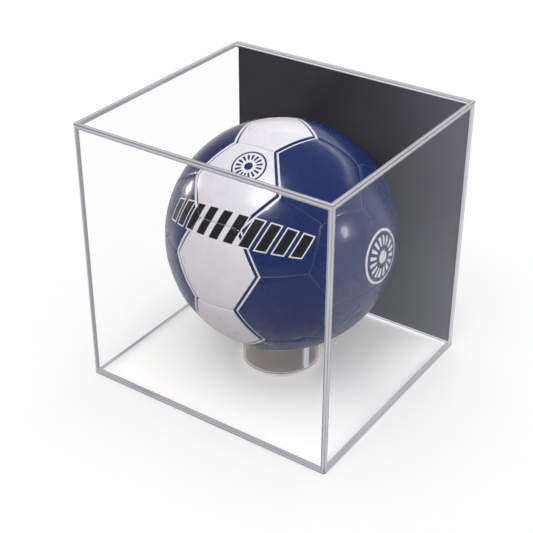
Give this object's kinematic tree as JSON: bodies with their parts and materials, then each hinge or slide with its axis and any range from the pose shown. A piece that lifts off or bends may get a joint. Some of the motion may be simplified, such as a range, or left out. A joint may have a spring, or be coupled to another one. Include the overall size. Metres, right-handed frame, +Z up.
{
  "type": "ball display case",
  "caption": "Clear acrylic display case with a black rear sheet: the cover lifts off a base sheet, where a football rests on a clear ring stand.",
  "frame": {"origin": "on the ground, under the middle of the case's outer box", "axes": "+X to the right along the clear front face, +Y from the front face to the black rear sheet, +Z up"},
  "size_m": [0.2664, 0.244, 0.2664],
  "materials": {
    "clear_acrylic": "clear cast acrylic with flame-polished edges",
    "black_acrylic": "glossy black acrylic",
    "white_panel": "glossy synthetic leather, white, with a navy line along its seams to navy panels",
    "navy_panel": "glossy synthetic leather, navy, with a thin white line along its seams to white panels",
    "rubber": "black butyl rubber"
  },
  "bodies": {
    "base": {"base_sheet": "clear_acrylic", "ring_stand": "clear_acrylic"},
    "cover": {"front_sheet": "clear_acrylic", "left_sheet": "clear_acrylic", "right_sheet": "clear_acrylic", "black_rear_sheet": "black_acrylic", "top_sheet": "clear_acrylic"},
    "ball": {"white_pentagon_1": "white_panel", "white_pentagon_2": "white_panel", "white_pentagon_3": "white_panel", "white_pentagon_4": "white_panel", "white_hexagon_1": "white_panel", "white_hexagon_2": "white_panel", "white_hexagon_3": "white_panel", "white_hexagon_4": "white_panel", "navy_pentagon_1": "navy_panel", "navy_pentagon_2": "navy_panel", "navy_pentagon_3": "navy_panel", "navy_pentagon_4": "navy_panel", "navy_pentagon_5": "navy_panel", "navy_pentagon_6": "navy_panel", "navy_pentagon_7": "navy_panel", "navy_pentagon_8": "navy_panel", "navy_hexagon_1": "navy_panel", "navy_hexagon_2": "navy_panel", "navy_hexagon_3": "navy_panel", "navy_hexagon_4": "navy_panel", "navy_hexagon_5": "navy_panel", "navy_hexagon_6": "navy_panel", "navy_hexagon_7": "navy_panel", "navy_hexagon_8": "navy_panel", "navy_hexagon_9": "navy_panel", "navy_hexagon_10": "navy_panel", "navy_hexagon_11": "navy_panel", "navy_hexagon_12": "navy_panel", "navy_hexagon_13": "navy_panel", "navy_hexagon_14": "navy_panel", "navy_hexagon_15": "navy_panel", "navy_hexagon_16": "navy_panel", "ball_bladder": "rubber", "ball_valve": "rubber"}
  },
  "joints": [
    {"name": "cover_lift", "type": "slide", "parent": "base", "child": "cover", "axis": [0, 0, 1], "range_m": [0, 0.28]},
    {"name": "ball_turn", "type": "hinge", "parent": "base", "child": "ball", "pos_m": [0, 0.007, 0.13923], "axis": [0, 0, 1], "continuous": true}
  ]
}
